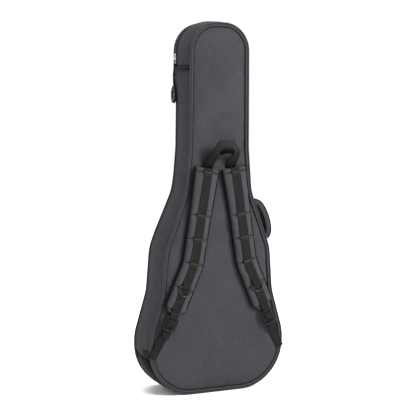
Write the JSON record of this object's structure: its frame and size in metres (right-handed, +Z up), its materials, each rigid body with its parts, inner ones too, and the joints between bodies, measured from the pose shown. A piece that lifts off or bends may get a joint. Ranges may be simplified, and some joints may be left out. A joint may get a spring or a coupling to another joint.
{
  "type": "padded guitar gig bag",
  "caption": "Tall guitar-shaped padded soft case with hinged zipped lid, front pocket, two shoulder straps, grab handle and side handle.",
  "frame": {"origin": "centre of the flat bottom of the bag, on the floor, midway across its width and on the middle plane of its side gusset", "axes": "+Z up the bag's length, -Y out of the back that carries the shoulder straps, +Y out of the lid and its pocket, +X towards the padded side handle"},
  "size_m": [0.4358, 0.2108, 1.0824],
  "materials": {
    "shell_fabric": "heathered charcoal woven polyester",
    "binding": "dark woven binding tape over piping",
    "webbing": "black ribbed polypropylene webbing",
    "foam": "closed-cell foam, plush covered",
    "lining": "soft brushed lining",
    "boot": "coated hard-wearing black cloth",
    "zip_tape": "woven black zip tape",
    "zip_coil": "black nylon coil",
    "slider_metal": "nickel-plated zinc",
    "cord": "black braided cord",
    "moulded": "black moulded acetal",
    "strap_inside": "black hook-and-loop strap"
  },
  "bodies": {
    "shell": {"back_panel_lower": "shell_fabric", "back_panel_upper": "shell_fabric", "back_yoke_band": "webbing", "back_binding": "binding", "back_foam": "foam", "back_lining": "lining", "gusset_zip_side": "shell_fabric", "gusset_hinge_side": "shell_fabric", "gusset_foam": "foam", "gusset_lining": "lining", "gusset_seam_patch": "webbing", "bottom_boot": "boot", "zip_tape_shell": "zip_tape", "zip_coil_shell": "zip_coil", "strap_anchor_left": "webbing", "strap_anchor_right": "webbing", "lower_webbing_left": "webbing", "lower_webbing_right": "webbing", "side_handle_tabs": "webbing", "neck_cradle": "foam", "tail_bumper": "foam", "headstock_rest": "foam"},
    "lid": {"front_panel": "shell_fabric", "front_binding": "binding", "lid_gusset": "shell_fabric", "front_foam": "foam", "front_lining": "lining", "zip_tape_lid": "zip_tape", "zip_coil_lid": "zip_coil", "pocket_gusset": "shell_fabric", "pocket_zip_tape": "zip_tape"},
    "pocket_cover": {"pocket_front": "shell_fabric", "pocket_binding": "binding"},
    "pocket_slider": {"pocket_zip_slider": "slider_metal"},
    "pocket_pull": {"pocket_zip_pull": "slider_metal"},
    "main_slider": {"main_zip_slider": "slider_metal"},
    "main_pull": {"main_zip_pull": "slider_metal"},
    "cord_puller": {"puller_cord_front": "cord", "puller_cord_back": "cord", "puller_knot": "cord", "puller_grip": "moulded"},
    "grab_handle": {"grab_handle": "webbing"},
    "side_handle": {"side_handle_pad": "shell_fabric", "side_handle_webbing": "webbing"},
    "strap_left": {"strap_pad_left": "shell_fabric", "strap_binding_left": "binding", "strap_webbing_left": "webbing", "ring_tab_left": "webbing"},
    "strap_right": {"strap_pad_right": "shell_fabric", "strap_binding_right": "binding", "strap_webbing_right": "webbing", "ring_tab_right": "webbing"},
    "lock_left": {"ladder_lock_left": "moulded", "strap_tail_left": "webbing"},
    "lock_right": {"ladder_lock_right": "moulded", "strap_tail_right": "webbing"},
    "ring_left": {"strap_ring_left": "moulded"},
    "ring_right": {"strap_ring_right": "moulded"},
    "neck_strap": {"neck_strap": "strap_inside", "neck_strap_fastener": "strap_inside"}
  },
  "joints": [
    {"name": "lid_hinge", "type": "hinge", "parent": "shell", "child": "lid", "pos_m": [-0.229, 0.044, 0.17], "axis": [0.1466, 0, 0.9892], "range_deg": [0, 105]},
    {"name": "pocket_cover_hinge", "type": "hinge", "parent": "lid", "child": "pocket_cover", "pos_m": [0, 0.0904, 0.0225], "axis": [-1, 0, 0], "range_deg": [0, 30]},
    {"name": "pocket_zip_slide", "type": "slide", "parent": "lid", "child": "pocket_slider", "axis": [1, 0, 0], "range_m": [0, 0.19]},
    {"name": "pocket_pull_swing", "type": "hinge", "parent": "pocket_slider", "child": "pocket_pull", "pos_m": [-0.095, 0.0902, 0.4378], "axis": [0, -1, 0], "range_deg": [0, 85]},
    {"name": "main_zip_slide", "type": "slide", "parent": "shell", "child": "main_slider", "axis": [0.0083, 0, 1], "range_m": [-0.012, 0.02]},
    {"name": "main_pull_swing", "type": "hinge", "parent": "main_slider", "child": "main_pull", "pos_m": [-0.09811, 0.041, 0.983], "axis": [0, 1, 0], "range_deg": [0, 100]},
    {"name": "cord_puller_swing", "type": "hinge", "parent": "main_pull", "child": "cord_puller", "pos_m": [-0.09961, 0.041, 0.964], "axis": [0, 1, 0], "range_deg": [0, 75]},
    {"name": "grab_handle_hinge", "type": "hinge", "parent": "shell", "child": "grab_handle", "pos_m": [0, -0.058, 0.667], "axis": [1, 0, 0], "range_deg": [-25, 45]},
    {"name": "side_handle_hinge", "type": "hinge", "parent": "shell", "child": "side_handle", "pos_m": [0.14959, 0, 0.50014], "axis": [-0.3493, 0, 0.937], "range_deg": [-15, 15]},
    {"name": "strap_left_hinge", "type": "hinge", "parent": "shell", "child": "strap_left", "pos_m": [-0.043, -0.062, 0.664], "axis": [-1, 0, 0], "range_deg": [0, 15], "deforming": ["lower_webbing_left"]},
    {"name": "ladder_lock_left_tilt", "type": "hinge", "parent": "strap_left", "child": "lock_left", "pos_m": [-0.15136, -0.078, 0.23619], "axis": [-0.9185, 0, 0.3955], "range_deg": [0, 35]},
    {"name": "strap_ring_left_swing", "type": "hinge", "parent": "strap_left", "child": "ring_left", "pos_m": [-0.11447, -0.08323, 0.32187], "axis": [-0.9185, 0, 0.3955], "range_deg": [0, 80]},
    {"name": "strap_right_hinge", "type": "hinge", "parent": "shell", "child": "strap_right", "pos_m": [0.043, -0.062, 0.664], "axis": [-1, 0, 0], "range_deg": [0, 15], "deforming": ["lower_webbing_right"]},
    {"name": "ladder_lock_right_tilt", "type": "hinge", "parent": "strap_right", "child": "lock_right", "pos_m": [0.15136, -0.078, 0.23619], "axis": [-0.9185, 0, -0.3955], "range_deg": [0, 35]},
    {"name": "strap_ring_right_swing", "type": "hinge", "parent": "strap_right", "child": "ring_right", "pos_m": [0.11447, -0.08323, 0.32187], "axis": [-0.9185, 0, -0.3955], "range_deg": [0, 80]},
    {"name": "neck_strap_lift", "type": "hinge", "parent": "shell", "child": "neck_strap", "pos_m": [-0.062, 0.0066, 0.73], "axis": [0, 0, 1], "range_deg": [0, 5]}
  ]
}
